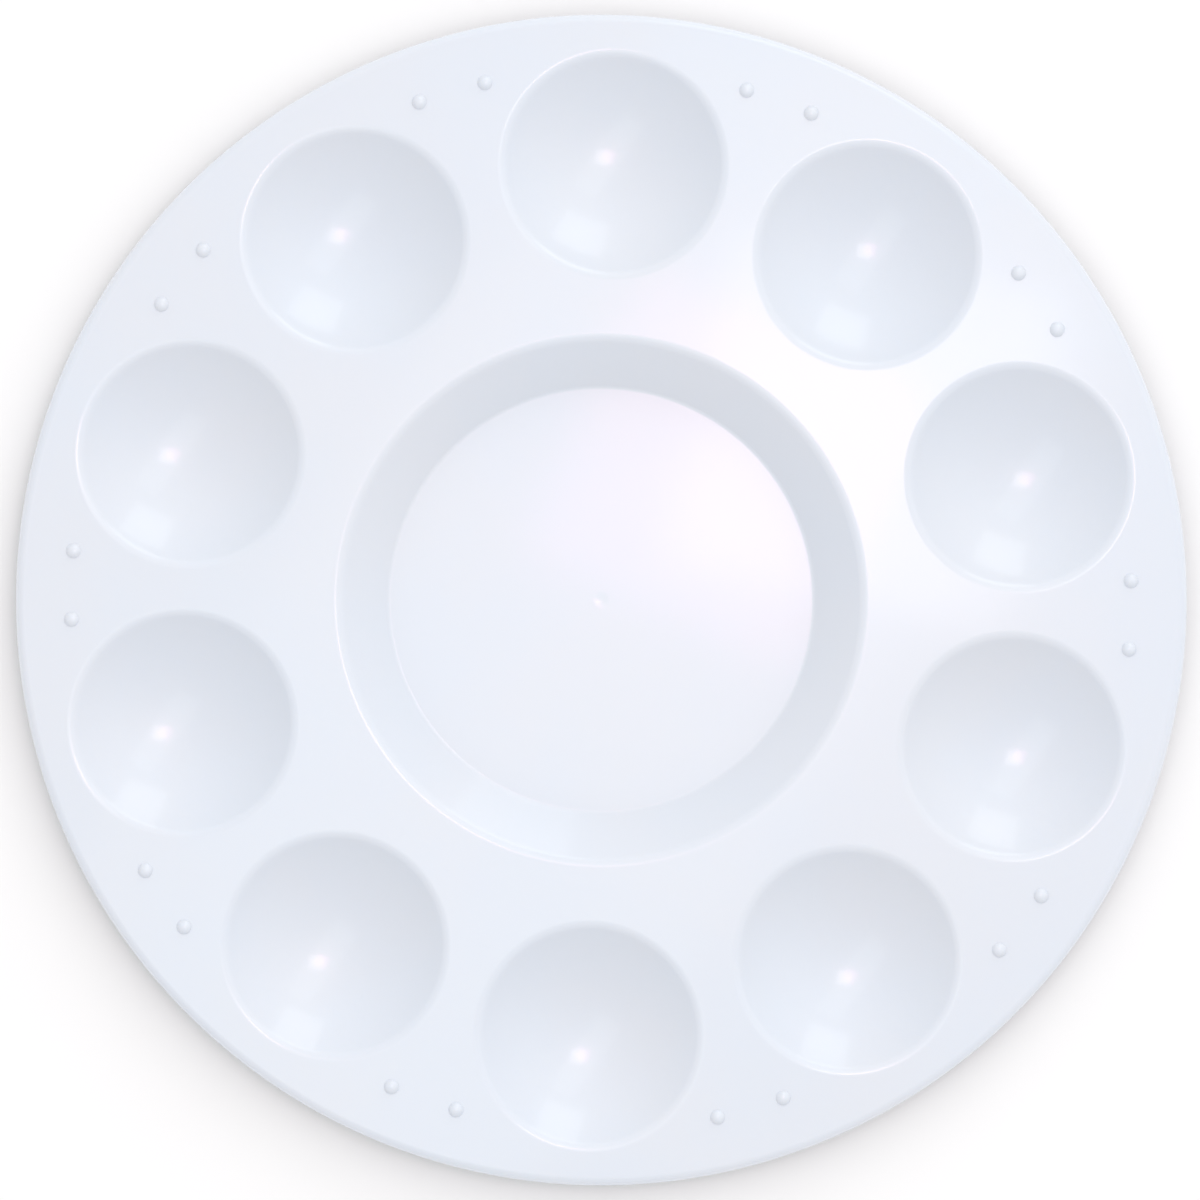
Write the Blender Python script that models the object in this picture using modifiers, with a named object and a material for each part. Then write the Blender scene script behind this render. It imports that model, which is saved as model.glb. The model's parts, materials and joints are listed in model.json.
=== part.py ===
# Round mixing palette, moulded in one piece: a ring of bowls for single
# colours around a shallow mixing recess, with pairs of small pips between the
# bowls that stop a brush from rolling.
#
# Units are metres.  The origin is the centre of the plane that the palette
# stands on.  +Z is up, out of the painting side, and the first bowl is on +Y.

import math

import bmesh
import bpy

MM = 0.001

# Driving sizes
WALL = 1.2 * MM                  # thickness of the moulding
WELL_COUNT = 10
WELL_MOUTH_RADIUS = 16.0 * MM    # bowl at the deck, before its lip is rounded
WELL_DEPTH = 6.4 * MM            # deck to the bottom of a bowl
WELL_LIP_RADIUS = 2.2 * MM       # rounding between a bowl and the deck
WELL_LAND = 7.0 * MM             # deck between two neighbouring bowls
RIM_LAND = 5.9 * MM              # deck and shoulder outside the bowls
RING_LAND = 9.2 * MM             # deck between the bowls and the recess
FOOT_RADIUS = 4.5 * MM           # flat pad under each bowl

RECESS_RISE = 0.7 * MM           # mixing floor above the bottoms of the bowls
RECESS_WALL_RUN = 6.8 * MM       # how far the sloping wall goes inwards
RECESS_LIP_RADIUS = 2.4 * MM
RECESS_FLOOR_FILLET = 1.0 * MM

SHOULDER_RADIUS = 1.4 * MM       # rounding where the deck turns down
SKIRT_DROP = 4.5 * MM            # deck to the skirt's lower edge
SKIRT_DRAFT = math.radians(2.0)  # lean that lets the skirt leave its mould
SKIRT_EDGE_RADIUS = 0.4 * MM

PIP_RADIUS = 1.1 * MM
PIP_HEIGHT = 0.6 * MM
PIP_SPACING = 9.9 * MM           # between the two pips of a pair
PIP_INSET = 8.3 * MM             # pips in from the rim

GATE_RADIUS = 1.5 * MM           # trimmed gate under the mixing floor
GATE_CLEARANCE = 0.2 * MM        # gate above the plane that the palette stands on

PLASTIC_COLOUR = (0.90, 0.91, 0.94, 1.0)
PLASTIC_ROUGHNESS = 0.28

# How finely the curved faces are divided
BODY_SEGMENTS = 80
WELL_SEGMENTS = 24
SMALL_SEGMENTS = 8
FILLET_ARC_STEP = math.radians(25.0)
HIDDEN_ARC_STEP = math.radians(50.0)
LIP_ARC_STEP = math.radians(18.0)
BOWL_ARC_STEP = math.radians(14.0)
BULGE_ARC_STEP = math.radians(16.0)

# How far a solid reaches into, or a cutter out of, the one it works on
OVERLAP = 0.4 * MM

# Sizes that follow from the driving ones
deck_z = WALL + WELL_DEPTH
pitch_radius = (WELL_MOUTH_RADIUS + WELL_LAND / 2) / math.sin(math.pi / WELL_COUNT)
rim_radius = pitch_radius + WELL_MOUTH_RADIUS + RIM_LAND
recess_lip_radius = pitch_radius - WELL_MOUTH_RADIUS - RING_LAND
recess_floor_radius = recess_lip_radius - RECESS_WALL_RUN
recess_floor_z = WALL + RECESS_RISE
bowl_radius = (WELL_MOUTH_RADIUS ** 2 + WELL_DEPTH ** 2) / (2 * WELL_DEPTH)
bowl_centre_z = deck_z - WELL_DEPTH + bowl_radius
well_step = 2 * math.pi / WELL_COUNT


def arc(centre, radius, start, end, step):
    """Points on an arc in the (r, z) plane, both ends included."""
    count = max(1, math.ceil(abs(end - start) / step))
    points = []
    for index in range(count + 1):
        angle = start + (end - start) * index / count
        points.append((centre[0] + radius * math.cos(angle), centre[1] + radius * math.sin(angle)))
    return points


def rounded(corners, radii, steps):
    """A chain of corners in the (r, z) plane with each corner replaced by an arc of its radius."""
    chain = [corners[0]]
    for before, corner, after, radius, step in zip(corners, corners[1:], corners[2:], radii[1:], steps[1:]):
        heading_in = math.atan2(corner[1] - before[1], corner[0] - before[0])
        heading_out = math.atan2(after[1] - corner[1], after[0] - corner[0])
        turn = (heading_out - heading_in + math.pi) % (2 * math.pi) - math.pi
        if radius <= 0:
            chain.append(corner)
            continue
        side = math.copysign(math.pi / 2, turn)
        setback = radius * math.tan(abs(turn) / 2)
        tangent = (corner[0] - setback * math.cos(heading_in), corner[1] - setback * math.sin(heading_in))
        centre = (tangent[0] + radius * math.cos(heading_in + side),
                  tangent[1] + radius * math.sin(heading_in + side))
        chain += arc(centre, radius, heading_in - side, heading_in - side + turn, step)
    chain.append(corners[-1])
    return chain


def offset_inwards(corners, distance):
    """The same chain moved to the right of its direction of travel, with mitred corners."""
    headings = [math.atan2(b[1] - a[1], b[0] - a[0]) for a, b in zip(corners, corners[1:])]
    moved = []
    for index, corner in enumerate(corners):
        before = headings[max(index - 1, 0)]
        after = headings[min(index, len(headings) - 1)]
        middle = (before + after) / 2
        reach = distance / math.cos((after - before) / 2)
        moved.append((corner[0] + reach * math.sin(middle), corner[1] - reach * math.cos(middle)))
    return moved


def turned(name, profile, segments, collection, place=(0.0, 0.0, 0.0), turn=0.0):
    """A solid turned about a vertical axis from a profile that runs down its outer side."""
    mesh = bpy.data.meshes.new(name)
    work = bmesh.new()
    corners = [work.verts.new((radius, 0.0, height)) for radius, height in profile]
    for start, end in zip(corners, corners[1:]):
        work.edges.new((start, end))
    work.to_mesh(mesh)
    work.free()
    solid = bpy.data.objects.new(name, mesh)
    solid.location = place
    solid.rotation_euler = (0.0, 0.0, turn)
    collection.objects.link(solid)
    screw = solid.modifiers.new("turn", "SCREW")
    screw.axis = "Z"
    screw.steps = segments
    screw.render_steps = segments
    screw.use_merge_vertices = True
    screw.merge_threshold = 0.00001
    return solid


def new_collection(name):
    collection = bpy.data.collections.new(name)
    bpy.context.scene.collection.children.link(collection)
    return collection


def on_circle(radius, angle):
    """A place on the deck, measured clockwise from +Y."""
    return (radius * math.sin(angle), radius * math.cos(angle), 0.0)


def hide_helper(helper):
    helper.hide_render = True
    helper.display_type = "WIRE"


def body_profile():
    """Deck, recess, shoulder and skirt as one wall of even thickness."""
    skirt_bottom = deck_z - SKIRT_DROP
    skirt_top_radius = rim_radius - SKIRT_DROP * math.tan(SKIRT_DRAFT)
    upper = [
        (0.0, recess_floor_z),
        (recess_floor_radius, recess_floor_z),
        (recess_lip_radius, deck_z),
        (skirt_top_radius, deck_z),
        (rim_radius, skirt_bottom),
    ]
    upper_radii = [0.0, RECESS_FLOOR_FILLET, RECESS_LIP_RADIUS, SHOULDER_RADIUS, SKIRT_EDGE_RADIUS]
    lower = offset_inwards(upper, WALL)
    lower_radii = [
        0.0,
        RECESS_FLOOR_FILLET + WALL,
        max(RECESS_LIP_RADIUS - WALL, 0.0),
        max(SHOULDER_RADIUS - WALL, 0.0),
        SKIRT_EDGE_RADIUS,
    ]
    steps = [FILLET_ARC_STEP] * len(upper) + [HIDDEN_ARC_STEP] * len(lower)
    return rounded(upper + lower[::-1], upper_radii + lower_radii[::-1], steps)


def bowl_profile():
    """Inside of a bowl, from above the deck down the rounded lip and the sphere to its bottom."""
    lip_centre_radius = math.sqrt((bowl_radius + WELL_LIP_RADIUS) ** 2
                                  - (bowl_radius + WELL_LIP_RADIUS - WELL_DEPTH) ** 2)
    lip_centre = (lip_centre_radius, deck_z - WELL_LIP_RADIUS)
    sphere_centre = (0.0, bowl_centre_z)
    meeting = math.atan2(lip_centre[1] - bowl_centre_z, lip_centre[0])
    lip = arc(lip_centre, WELL_LIP_RADIUS, math.pi / 2, meeting + math.pi, LIP_ARC_STEP)
    sphere = arc(sphere_centre, bowl_radius, meeting, -math.pi / 2, BOWL_ARC_STEP)
    # The lip's first facet runs on past the deck, so that the cut crosses it at an angle.
    flare = (2 * lip[0][0] - lip[1][0], 2 * lip[0][1] - lip[1][1])
    above = deck_z + OVERLAP
    return [(0.0, above), (flare[0], above), flare] + lip[1:] + sphere[1:-1] + [(0.0, deck_z - WELL_DEPTH)]


def bulge_profile():
    """Outside of a bowl, from inside the deck's wall down the sphere to the flat foot pad."""
    outer_radius = bowl_radius + WALL
    top = deck_z - WALL / 2
    start = math.asin((top - bowl_centre_z) / outer_radius)
    end = -math.acos(FOOT_RADIUS / outer_radius)
    sphere = arc((0.0, bowl_centre_z), outer_radius, start, end, BULGE_ARC_STEP)
    return [(0.0, top)] + sphere + [(FOOT_RADIUS, 0.0), (0.0, 0.0)]


def dome_profile(radius, height, root):
    """A low dome on z = 0 that reaches root deep below it."""
    sphere_radius = (radius ** 2 + height ** 2) / (2 * height)
    centre = (0.0, height - sphere_radius)
    edge = math.acos(radius / sphere_radius)
    step = (math.pi / 2 - edge) / 2
    dome = arc(centre, sphere_radius, math.pi / 2, edge, step)
    return [(0.0, height)] + dome[1:] + [(radius, -root), (0.0, -root)]


def gate_profile():
    """A short round stub under the mixing floor, rooted in its wall."""
    top = recess_floor_z - WALL + OVERLAP
    return [(0.0, top), (GATE_RADIUS, top), (GATE_RADIUS, GATE_CLEARANCE), (0.0, GATE_CLEARANCE)]


def plastic():
    material = bpy.data.materials.new("white_plastic")
    material.use_nodes = True
    shader = material.node_tree.nodes["Principled BSDF"]
    shader.inputs["Base Color"].default_value = PLASTIC_COLOUR
    shader.inputs["Roughness"].default_value = PLASTIC_ROUGHNESS
    shader.inputs["Metallic"].default_value = 0.0
    return material


def combine(body, name, operation, helpers):
    modifier = body.modifiers.new(name, "BOOLEAN")
    modifier.operand_type = "COLLECTION"
    modifier.collection = helpers
    modifier.operation = operation
    modifier.solver = "EXACT"


def build():
    for old in list(bpy.data.objects):
        bpy.data.objects.remove(old, do_unlink=True)

    bulges = new_collection("bulges")
    bowls = new_collection("bowls")
    pips = new_collection("pips")
    for number in range(WELL_COUNT):
        angle = number * well_step
        place = on_circle(pitch_radius, angle)
        turned(f"bulge_{number + 1}", bulge_profile(), WELL_SEGMENTS, bulges, place, -angle)
        turned(f"bowl_{number + 1}", bowl_profile(), WELL_SEGMENTS, bowls, place, -angle)

    pip_circle = rim_radius - PIP_INSET
    pip_half_angle = math.asin(PIP_SPACING / 2 / pip_circle)
    for number in range(WELL_COUNT):
        for side in (-1, 1):
            angle = (number + 0.5) * well_step + side * pip_half_angle
            x, y, _ = on_circle(pip_circle, angle)
            profile = dome_profile(PIP_RADIUS, PIP_HEIGHT, OVERLAP)
            turned(f"pip_{number + 1}_{side}", profile, SMALL_SEGMENTS, pips, (x, y, deck_z), -angle)
    turned("gate", gate_profile(), SMALL_SEGMENTS, bulges)

    palette = turned("palette", body_profile(), BODY_SEGMENTS, new_collection("mixing_palette"))
    combine(palette, "add bulges", "UNION", bulges)
    combine(palette, "cut bowls", "DIFFERENCE", bowls)
    combine(palette, "add pips", "UNION", pips)
    palette.data.materials.append(plastic())
    palette.data.shade_smooth()
    for helpers in (bulges, bowls, pips):
        for helper in helpers.objects:
            hide_helper(helper)


build()
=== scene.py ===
import json
import math

import bmesh
import bpy
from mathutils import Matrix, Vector


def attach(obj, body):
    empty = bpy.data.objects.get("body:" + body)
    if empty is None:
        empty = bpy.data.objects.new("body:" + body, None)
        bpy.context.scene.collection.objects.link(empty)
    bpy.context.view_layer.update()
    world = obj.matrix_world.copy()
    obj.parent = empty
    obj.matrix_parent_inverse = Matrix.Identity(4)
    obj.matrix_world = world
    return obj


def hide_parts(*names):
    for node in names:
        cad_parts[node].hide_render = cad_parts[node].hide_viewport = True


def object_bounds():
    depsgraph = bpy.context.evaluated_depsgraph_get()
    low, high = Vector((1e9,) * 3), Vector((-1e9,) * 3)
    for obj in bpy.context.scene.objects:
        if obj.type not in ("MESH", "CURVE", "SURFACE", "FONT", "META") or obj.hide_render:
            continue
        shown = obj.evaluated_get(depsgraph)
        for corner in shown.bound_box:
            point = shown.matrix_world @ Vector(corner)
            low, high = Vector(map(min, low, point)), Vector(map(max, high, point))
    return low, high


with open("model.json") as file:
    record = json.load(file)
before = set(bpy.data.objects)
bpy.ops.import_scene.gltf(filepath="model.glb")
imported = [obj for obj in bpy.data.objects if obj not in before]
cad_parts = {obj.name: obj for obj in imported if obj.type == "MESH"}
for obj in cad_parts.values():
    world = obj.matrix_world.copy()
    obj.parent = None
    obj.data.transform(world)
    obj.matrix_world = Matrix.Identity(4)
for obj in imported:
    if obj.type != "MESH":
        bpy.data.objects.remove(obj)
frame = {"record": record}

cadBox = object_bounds()
record = frame["record"]
mm = 0.001


class Wire:
    # an output socket that takes part in sums; numbers and other wires mix freely

    def __init__(self, socket):
        self.socket = socket

    def node(self, kind, settings=None, sockets=None, output=0):
        made = self.socket.id_data.nodes.new(kind)
        for name, value in (settings or {}).items():
            setattr(made, name, value)
        for name, value in (sockets or {}).items():
            if isinstance(value, Wire):
                self.socket.id_data.links.new(value.socket, made.inputs[name])
            else:
                made.inputs[name].default_value = value
        return Wire(made.outputs[output])

    def maths(self, operation, first, second):
        return self.node("ShaderNodeMath", {"operation": operation}, {0: first, 1: second})

    def __add__(self, other):
        return self.maths("ADD", self, other)

    def __sub__(self, other):
        return self.maths("SUBTRACT", self, other)

    def __rsub__(self, other):
        return self.maths("SUBTRACT", other, self)

    def __mul__(self, other):
        return self.maths("MULTIPLY", self, other)

    __radd__ = __add__
    __rmul__ = __mul__


def noise(place, size, detail=2.0, roughness=0.5):
    # soft random values from 0 to 1, in lumps about size metres across
    sockets = {"Vector": place, "Scale": 1 / size, "Detail": detail, "Roughness": roughness}
    return place.node("ShaderNodeTexNoise", None, sockets)


def scaled(place, factors, turn=0.0):
    return place.node("ShaderNodeMapping", None,
                      {"Vector": place, "Scale": factors, "Rotation": (0, 0, turn)})


def band(value, limits):
    # 0 below the first limit, 1 above the second, smooth between
    low, high = limits
    return value.node("ShaderNodeMapRange", {"interpolation_type": "SMOOTHSTEP"},
                      {"Value": value, "From Min": low, "From Max": high})


def mixed(factor, first, second):
    # sockets 6 and 7 and output 2 are the Mix node's colours
    sockets = {0: factor, 6: (*first, 1), 7: (*second, 1)}
    return factor.node("ShaderNodeMix", {"data_type": "RGBA"}, sockets, output=2)


def newMaterial(name):
    material = bpy.data.materials.new(name)
    material.use_nodes = True
    nodes = material.node_tree.nodes
    coordinates = nodes.new("ShaderNodeTexCoord")
    return material, nodes["Principled BSDF"], Wire(coordinates.outputs["Object"])


def feed(shader, socketName, wire):
    shader.id_data.links.new(wire.socket, shader.inputs[socketName])


plasticFinish = {
    "colour": (0.718, 0.765, 0.837),      # cool white
    "warmColour": (0.730, 0.764, 0.824),  # where the melt ran a little warmer
    "meltSize": 34 * mm,                  # how broad those warmer parts are
    "meltBand": (0.35, 0.65),
    "roughness": 0.33,
    "scuffedRoughness": 0.42,
    "hazeSize": 9 * mm,                   # dull patches from handling
    "hazeBand": (0.52, 0.75),
    "hazeShare": 0.35,                    # of the way to scuffed
    "scratchShare": 0.5,
    "grainSize": 0.7 * mm,
    "grainStrength": 0.02,
    "skinGloss": 0.6,                     # the tight shine that a polished mould leaves on top
    "skinRoughness": 0.09,
    "refraction": 1.50,
    "milkiness": 0.12,                    # light that goes in and comes out again
    "milkColour": (1.0, 0.9, 0.8),
    "milkReach": 1.2 * mm,
    "peelSize": 1.6 * mm,                 # orange peel of the polished mould
    "peelHeight": 0.0016 * mm,
    "swellSize": 26 * mm,                 # how the cooled wall wanders out of flat
    "swellHeight": 0.060 * mm,
    "scratchWidth": 0.12 * mm,
    "scratchDepth": 0.0012 * mm,
    "scratchTurns": (0.5, -0.9),          # radians, the way the two sets of scratches run
    "crossScratches": 0.7,                # the second set against the first
    "scratchStretch": (1.0, 0.022, 0.3),
    "scratchBand": (0.66, 0.72),
    "scratchPatchSize": 14 * mm,
    "scratchPatchBand": (0.50, 0.66),
}


def scratches(place, turn):
    # long thin streaks: noise squeezed across and drawn out along one direction
    finish = plasticFinish
    drawnOut = scaled(place, finish["scratchStretch"], turn)
    streak = noise(drawnOut, finish["scratchWidth"], detail=1.0)
    patches = band(noise(place, finish["scratchPatchSize"]), finish["scratchPatchBand"])
    return band(streak, finish["scratchBand"]) * patches


def makePlastic():
    finish = plasticFinish
    material, shader, place = newMaterial("whitePlastic")
    melt = noise(scaled(place, (1.0, 1.0, 0.4)), finish["meltSize"], detail=3.0)
    warmth = band(melt, finish["meltBand"])
    feed(shader, "Base Color", mixed(warmth, finish["colour"], finish["warmColour"]))

    first, second = [scratches(place, turn) for turn in finish["scratchTurns"]]
    marks = first + second * finish["crossScratches"]
    haze = band(noise(place, finish["hazeSize"], detail=4.0, roughness=0.6), finish["hazeBand"])
    grain = noise(place, finish["grainSize"]) - 0.5
    rise = finish["scuffedRoughness"] - finish["roughness"]
    scuffs = (haze * finish["hazeShare"] + marks * finish["scratchShare"]) * rise
    feed(shader, "Roughness", finish["roughness"] + scuffs + grain * finish["grainStrength"])

    peel = noise(place, finish["peelSize"], detail=1.0) * finish["peelHeight"]
    swell = noise(place, finish["swellSize"], detail=1.0) * finish["swellHeight"]
    height = peel + swell - marks * finish["scratchDepth"]
    relief = {"Height": height, "Strength": 1.0, "Distance": 1.0}
    feed(shader, "Normal", height.node("ShaderNodeBump", None, relief, output="Normal"))

    shader.inputs["IOR"].default_value = finish["refraction"]
    shader.inputs["Coat Weight"].default_value = finish["skinGloss"]
    shader.inputs["Coat Roughness"].default_value = finish["skinRoughness"]
    shader.inputs["Subsurface Weight"].default_value = finish["milkiness"]
    shader.inputs["Subsurface Radius"].default_value = finish["milkColour"]
    shader.inputs["Subsurface Scale"].default_value = finish["milkReach"]
    print("plastic ready")
    return material


openings = record["physics"]["openings"]
bowlBoxes = [opening["box_m"] for opening in openings if opening["name"].startswith("bowl_")]
mounts = {mount["name"]: mount for mount in record["mounts"]}
deckZ = bowlBoxes[0][1][2]
floorZ = mounts["mixing_floor"]["pos_m"][2]
standZ = mounts["foot_pad"]["pos_m"][2]
bowlPlaces = [((low[0] + high[0]) / 2, (low[1] + high[1]) / 2) for low, high in bowlBoxes]

palette = {
    "wall": 1.2 * mm,
    "bowlMouth": 16.0 * mm,          # radius at the deck, before the lip is rounded
    "bowlLip": 2.2 * mm,
    "footRadius": 4.5 * mm,
    "footEdge": 0.15 * mm,           # small bevel round each foot
    "underFillet": 0.6 * mm,         # where a bowl's outside meets the deck's underside
    "recessLipRadius": 37.9 * mm,
    "recessWallRun": 6.8 * mm,
    "recessLip": 2.4 * mm,
    "recessFillet": 1.0 * mm,
    "shoulder": 1.4 * mm,
    "skirtDrop": 4.5 * mm,
    "skirtDraft": math.radians(2.0),
    "skirtEdge": 0.4 * mm,
    "pipRadius": 1.1 * mm,
    "pipSpacing": 9.9 * mm,
    "pipInset": 8.3 * mm,
    "gateDimpleRadius": 1.3 * mm,    # the witness of the gate in the middle of the mixing floor
    "gateDimpleDepth": 0.035 * mm,
    "gateStubRadius": 1.5 * mm,
    "gateStubHeight": 0.5 * mm,
    "gateStubEdge": 0.1 * mm,
    "recessStrip": 5 * mm,           # flat deck that the recess's lip runs out into
    "rimStrip": 8 * mm,              # and the rim's shoulder
    "leastFillet": 0.15 * mm,
    "sharpAngle": math.radians(38),  # edges sharper than this stay crisp
    "bowlSegments": 96,              # faces round
    "recessSegments": 320,
    "rimSegments": 400,
    "pipSegments": 28,
    "bowlSteps": 26,                 # faces along a profile
    "bowlLipSteps": 10,
    "bowlUnderSteps": 16,
    "underFilletSteps": 5,
    "cornerSteps": 9,
    "dimpleSteps": 10,
    "pipSteps": 8,
}


def arcPoints(centre, radius, start, end, count):
    angles = [start + (end - start) * index / count for index in range(count + 1)]
    return [(centre[0] + radius * math.cos(a), centre[1] + radius * math.sin(a)) for a in angles]


def roundedChain(corners, radii, count):
    # corners in the (radius, height) plane, each inner one replaced by an arc
    chain = [corners[0]]
    for before, corner, after, radius in zip(corners, corners[1:], corners[2:], radii):
        headingIn = math.atan2(corner[1] - before[1], corner[0] - before[0])
        headingOut = math.atan2(after[1] - corner[1], after[0] - corner[0])
        turn = (headingOut - headingIn + math.pi) % (2 * math.pi) - math.pi
        side = math.copysign(math.pi / 2, turn)
        setback = radius * math.tan(abs(turn) / 2)
        centre = (corner[0] - setback * math.cos(headingIn) + radius * math.cos(headingIn + side),
                  corner[1] - setback * math.sin(headingIn) + radius * math.sin(headingIn + side))
        chain += arcPoints(centre, radius, headingIn - side, headingIn - side + turn, count)
    return chain + [corners[-1]]


def insetChain(corners, distance):
    # the same chain moved to the right of its direction of travel
    headings = [math.atan2(b[1] - a[1], b[0] - a[0]) for a, b in zip(corners, corners[1:])]
    moved = []
    for index, corner in enumerate(corners):
        before, after = headings[max(index - 1, 0)], headings[min(index, len(headings) - 1)]
        middle, reach = (before + after) / 2, distance / math.cos((after - before) / 2)
        moved.append((corner[0] + reach * math.sin(middle), corner[1] - reach * math.cos(middle)))
    return moved


def turnRings(mesh, profile, segments, centre=(0.0, 0.0), turn=0.0):
    # rings of points about a vertical axis, joined by faces; gives back the first and the last ring
    rings = []
    for radius, height in profile:
        count = segments if radius > 0 else 1
        angles = [turn + 2 * math.pi * index / count for index in range(count)]
        places = [(centre[0] + radius * math.sin(a), centre[1] + radius * math.cos(a), height)
                  for a in angles]
        rings.append([mesh.verts.new(place) for place in places])
    for inner, outer in zip(rings, rings[1:]):
        for index in range(segments):
            following = (index + 1) % segments
            if len(inner) == 1:
                mesh.faces.new((inner[0], outer[following], outer[index]))
            else:
                mesh.faces.new((inner[index], inner[following], outer[following], outer[index]))
    return rings[0], rings[-1]


def fillFlat(mesh, rings):
    # the flat sheet between a set of rings that lie in one plane
    edges = []
    for ring in rings:
        for start, end in zip(ring, ring[1:] + ring[:1]):
            edges.append(mesh.edges.get((start, end)) or mesh.edges.new((start, end)))
    bmesh.ops.triangle_fill(mesh, use_beauty=True, use_dissolve=False, edges=edges)


def bowlProfiles(p):
    # inside and outside of one bowl, each from its bottom out to the flat sheet around it
    depth = deckZ - standZ - p["wall"]
    inner = (p["bowlMouth"] ** 2 + depth ** 2) / (2 * depth)
    centre = (0.0, deckZ - depth + inner)
    lipReach = inner + p["bowlLip"]
    lip = (math.sqrt(lipReach ** 2 - (lipReach - depth) ** 2), deckZ - p["bowlLip"])
    meeting = math.atan2(lip[1] - centre[1], lip[0])
    inside = [(0.0, deckZ - depth)] + arcPoints(centre, inner, -math.pi / 2, meeting, p["bowlSteps"])[1:]
    inside += arcPoints(lip, p["bowlLip"], meeting + math.pi, math.pi / 2, p["bowlLipSteps"])[1:]

    outer = inner + p["wall"]
    under = deckZ - p["wall"]
    fillet = p["underFillet"]
    drop = centre[1] - (under - fillet)
    corner = (math.sqrt((outer + fillet) ** 2 - drop ** 2), under - fillet)
    meeting = math.atan2(corner[1] - centre[1], corner[0])
    start = -math.acos(p["footRadius"] / outer)
    foot, edge = p["footRadius"], p["footEdge"]
    outside = [(0.0, standZ), (foot - edge, standZ), (foot, standZ + edge)]
    outside += arcPoints(centre, outer, start, meeting, p["bowlUnderSteps"])
    outside += arcPoints(corner, fillet, meeting + math.pi, math.pi / 2, p["underFilletSteps"])[1:]
    return inside, outside


def recessProfiles(p):
    # top and underside of the recess, each from its middle out to the flat sheet around it
    lipRadius = p["recessLipRadius"]
    upper = [(0.0, floorZ), (lipRadius - p["recessWallRun"], floorZ),
             (lipRadius, deckZ), (lipRadius + p["recessStrip"], deckZ)]
    lower = insetChain(upper, p["wall"])
    lower[0] = (0.0, lower[0][1])
    inside = roundedChain(upper, [p["recessFillet"], p["recessLip"]], p["cornerSteps"])[:-1]
    underRadii = [p["recessFillet"] + p["wall"], p["recessLip"] - p["wall"]]
    outside = roundedChain(lower, underRadii, p["cornerSteps"])[:-1]

    wide, deep, steps = p["gateDimpleRadius"], p["gateDimpleDepth"], p["dimpleSteps"]
    dimple = [(0.0, floorZ - deep)]
    for index in range(1, steps + 1):
        share = index / steps
        dimple.append((wide * share, floorZ - deep * (0.5 + 0.5 * math.cos(math.pi * share))))
    underFloor = floorZ - p["wall"]
    stubEnd = underFloor - p["gateStubHeight"]
    stubRadius, edge = p["gateStubRadius"], p["gateStubEdge"]
    stub = [(0.0, stubEnd), (stubRadius - edge, stubEnd),
            (stubRadius, stubEnd + edge), (stubRadius, underFloor)]
    return dimple + inside[1:], stub + outside[1:]


def rimProfile(p):
    # from the deck over the shoulder, down the skirt and back up to the deck's underside
    rimRadius = cadBox[1].x
    topRadius = rimRadius - p["skirtDrop"] * math.tan(p["skirtDraft"])
    upper = [(topRadius - p["rimStrip"], deckZ), (topRadius, deckZ), (rimRadius, deckZ - p["skirtDrop"])]
    lower = insetChain(upper, p["wall"])
    underShoulder = max(p["shoulder"] - p["wall"], p["leastFillet"])
    radii = [p["shoulder"], p["skirtEdge"], p["skirtEdge"], underShoulder]
    return roundedChain(upper + lower[::-1], radii, p["cornerSteps"])[1:-1]


def pipProfile(p):
    height = cadBox[1].z - deckZ
    sphere = (p["pipRadius"] ** 2 + height ** 2) / (2 * height)
    edge = math.acos(p["pipRadius"] / sphere)
    centre = (0.0, deckZ + height - sphere)
    return [(0.0, deckZ + height)] + arcPoints(centre, sphere, math.pi / 2, edge, p["pipSteps"])[1:]


def makePalette():
    p = palette
    mesh = bmesh.new()
    deckRings, underRings = [], []
    inside, outside = bowlProfiles(p)
    for x, y in bowlPlaces:
        turn = math.atan2(x, y)
        deckRings.append(turnRings(mesh, inside, p["bowlSegments"], (x, y), turn)[1])
        underRings.append(turnRings(mesh, outside, p["bowlSegments"], (x, y), turn)[1])
    inside, outside = recessProfiles(p)
    deckRings.append(turnRings(mesh, inside, p["recessSegments"])[1])
    underRings.append(turnRings(mesh, outside, p["recessSegments"])[1])
    first, last = turnRings(mesh, rimProfile(p), p["rimSegments"])
    deckRings.append(first)
    underRings.append(last)

    pipCircle = cadBox[1].x - p["pipInset"]
    halfAngle = math.asin(p["pipSpacing"] / 2 / pipCircle)
    for number in range(len(bowlPlaces)):
        for side in (-1, 1):
            angle = 2 * math.pi * (number + 0.5) / len(bowlPlaces) + side * halfAngle
            place = (pipCircle * math.sin(angle), pipCircle * math.cos(angle))
            deckRings.append(turnRings(mesh, pipProfile(p), p["pipSegments"], place)[1])
    fillFlat(mesh, deckRings)
    fillFlat(mesh, underRings)
    bmesh.ops.recalc_face_normals(mesh, faces=mesh.faces)

    data = bpy.data.meshes.new("paletteMoulding")
    mesh.to_mesh(data)
    mesh.free()
    data.shade_smooth()
    data.set_sharp_from_angle(angle=p["sharpAngle"])
    body = bpy.data.objects.new("paletteMoulding", data)
    bpy.context.scene.collection.objects.link(body)
    # keeps the flat deck flat beside its lips
    normals = body.modifiers.new("evenNormals", "WEIGHTED_NORMAL")
    normals.keep_sharp = True
    print("palette built:", len(data.vertices), "points")
    return body


moulding = makePalette()
moulding.data.materials.append(makePlastic())
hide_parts("palette")
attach(moulding, "root")


floorBoard = {
    "colour": (0.93, 0.93, 0.93),
    "fleckColour": (0.95, 0.95, 0.95),
    "fleckSize": 60 * mm,
    "roughness": 0.85,
    "width": 5.0,
}

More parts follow.
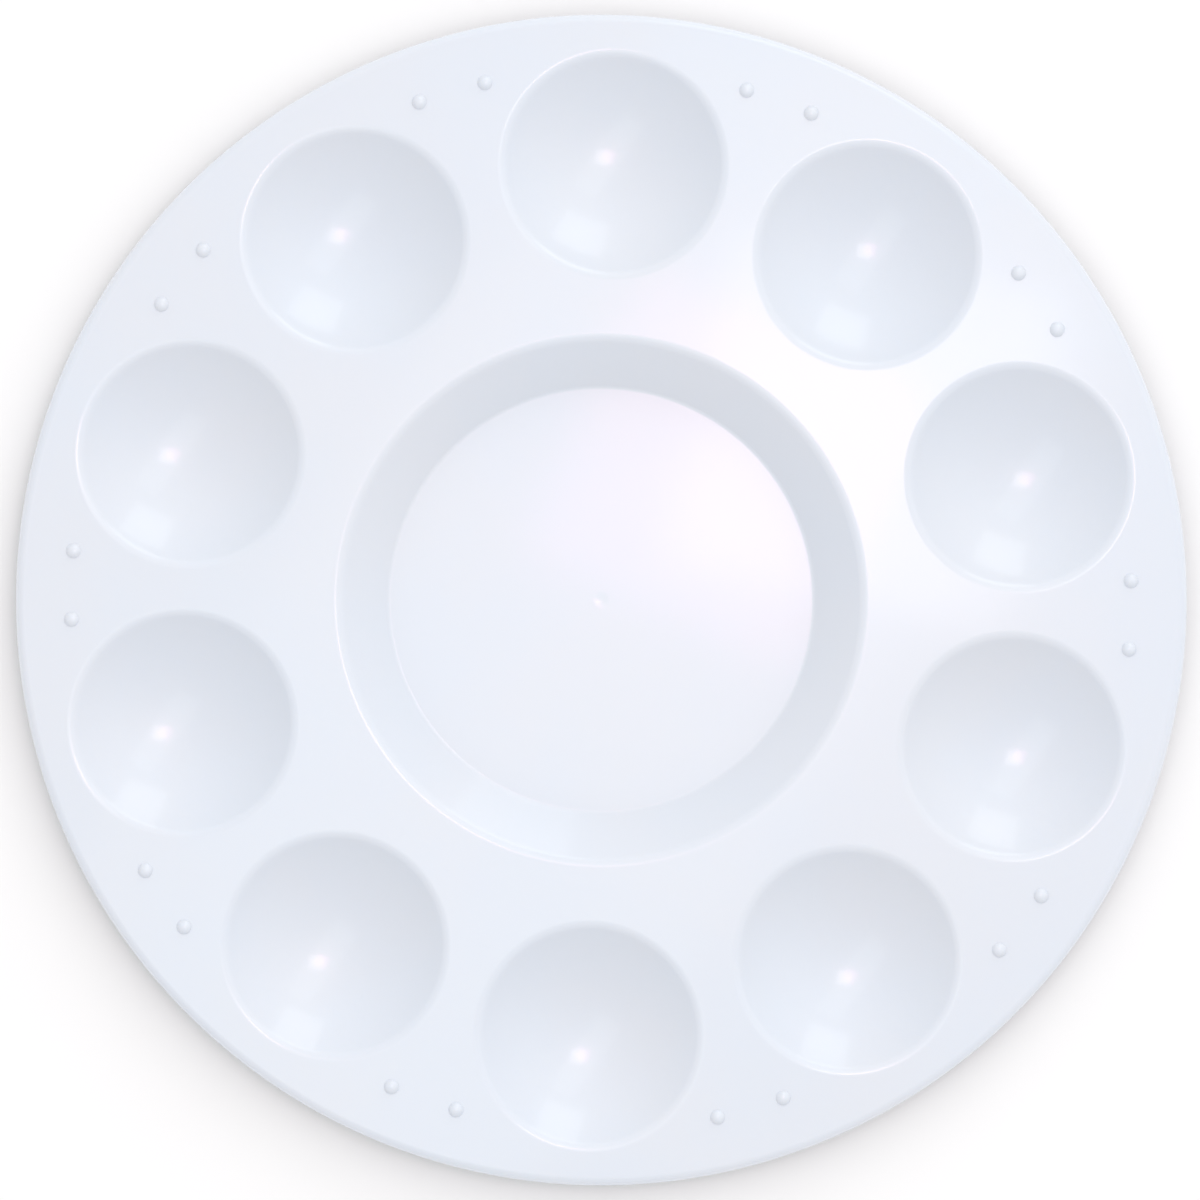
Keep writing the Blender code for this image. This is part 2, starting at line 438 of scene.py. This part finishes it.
sky = {
    "even": 0.825,                        # the same from everywhere
    "leanAngle": math.radians(45),        # of the broad bright parts, away from straight up
    "brightParts": ((0, 0.20), (45, 0.24), (90, 0.08)),  # degrees clockwise from +Y, strength
}

studio = {
    "cameraHeight": 0.57,                 # above the deck
    "sensorWidth": 36,                    # millimetres
    "paletteShare": 1175 / 1200,          # of the picture's width
    "cameraRoll": math.radians(1.62),
    "cameraShift": -0.0011,
}

lamps = [
    # name, place above the deck, size, watts, colour, turn about its own axis
    ("window", (0.076, 0.051, 0.57), (0.10, 0.10), 0.105, (1.0, 0.86, 0.90), math.radians(45)),
    ("warmPanel", (0.035, 0.038, 0.57), (0.09, 0.09), 0.085, (1.0, 0.30, 0.52), math.radians(20)),
    ("lowSoftbox", (0.36, 1.00, 0.56), (0.60, 0.60), 1.4, (0.95, 1.0, 1.0), 0.0),
    ("stripSoftbox", (0.02, 0.03, 0.40), (0.14, 0.50), 0.15, (0.92, 1.0, 0.98), 0.0),
]


def makeFloor():
    material, shader, place = newMaterial("paleBoard")
    tone = noise(place, floorBoard["fleckSize"], detail=3.0)
    feed(shader, "Base Color", mixed(tone, floorBoard["colour"], floorBoard["fleckColour"]))
    shader.inputs["Roughness"].default_value = floorBoard["roughness"]
    half = floorBoard["width"] / 2
    data = bpy.data.meshes.new("floor")
    corners = [(-half, -half, standZ), (half, -half, standZ), (half, half, standZ), (-half, half, standZ)]
    data.from_pydata(corners, [], [(0, 1, 2, 3)])
    data.materials.append(material)
    floor = bpy.data.objects.new("floor", data)
    bpy.context.scene.collection.objects.link(floor)


def addLamp(name, place, size, watts, colour, turn):
    light = bpy.data.lights.new(name, "AREA")
    light.shape = "RECTANGLE"
    light.size, light.size_y = size
    light.energy = watts
    light.color = colour
    lamp = bpy.data.objects.new(name, light)
    lamp.location = Vector(place) + Vector((0, 0, deckZ))
    aim = (Vector((0, 0, deckZ)) - lamp.location).to_track_quat("-Z", "Y")
    lamp.rotation_euler = aim.to_euler()
    lamp.rotation_euler.rotate_axis("Z", turn)
    bpy.context.scene.collection.objects.link(lamp)


def nearness(direction, angle, heading):
    # how near a direction is to one that leans from straight up: 1 along it, 0 from a right angle on
    reach = math.sin(angle)
    towards = (reach * math.sin(heading), reach * math.cos(heading), math.cos(angle))
    aligned = direction.node("ShaderNodeVectorMath", {"operation": "DOT_PRODUCT"},
                             {0: direction, 1: towards}, output="Value")
    return aligned.maths("MAXIMUM", aligned, 0)


def makeStudio():
    scene = bpy.context.scene
    makeFloor()
    for lamp in lamps:
        addLamp(*lamp)
    world = bpy.data.worlds.new("studio")
    world.use_nodes = True
    background = world.node_tree.nodes["Background"]
    background.inputs["Color"].default_value = (1, 1, 1, 1)
    direction = Wire(world.node_tree.nodes.new("ShaderNodeTexCoord").outputs["Generated"])
    light = sky["even"]
    for heading, strength in sky["brightParts"]:
        part = nearness(direction, sky["leanAngle"], math.radians(heading))
        part = part * part
        light = light + part * part * strength
    feed(background, "Strength", light)
    scene.world = world
    scene.view_settings.view_transform = "Standard"

    data = bpy.data.cameras.new("camera")
    height = studio["cameraHeight"]
    data.sensor_width = studio["sensorWidth"]
    data.lens = data.sensor_width * height * studio["paletteShare"] / (2 * cadBox[1].x)
    data.shift_x = studio["cameraShift"]
    camera = bpy.data.objects.new("camera", data)
    camera.location = (0, 0, deckZ + height)
    camera.rotation_euler = (0, 0, studio["cameraRoll"])
    scene.collection.objects.link(camera)
    scene.camera = camera
    print("studio ready")


makeStudio()
